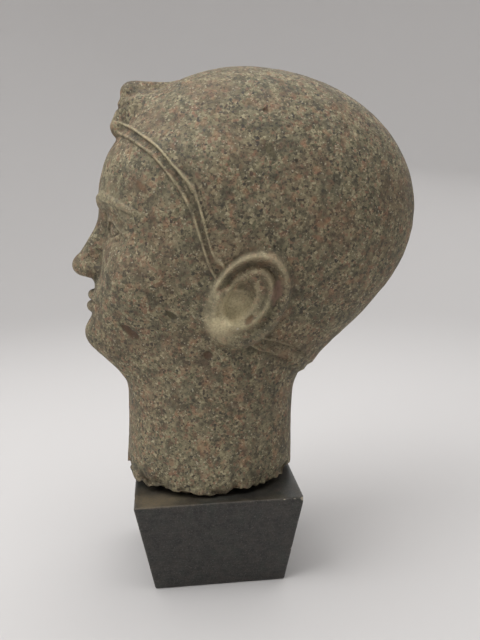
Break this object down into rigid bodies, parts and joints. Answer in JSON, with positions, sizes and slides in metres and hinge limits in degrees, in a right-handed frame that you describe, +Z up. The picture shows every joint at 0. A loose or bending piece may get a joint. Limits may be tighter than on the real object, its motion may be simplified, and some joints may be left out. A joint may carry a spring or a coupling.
{
  "type": "carved stone head on a block",
  "caption": "Granite head in a close smooth cap with a border band and a worn brow ornament, broken off at the neck, resting on a black tapered block.",
  "frame": {"origin": "middle of the block's underside", "axes": "+Z up, the face looks along -Y, the head's left ear is on the +X side"},
  "size_m": [0.1358, 0.2234, 0.3289],
  "materials": {
    "granite": "dry, fine-pecked, speckled",
    "black_paint": "worn satin black paint"
  },
  "bodies": {
    "root": {"head": "granite", "plinth": "black_paint"}
  },
  "joints": []
}
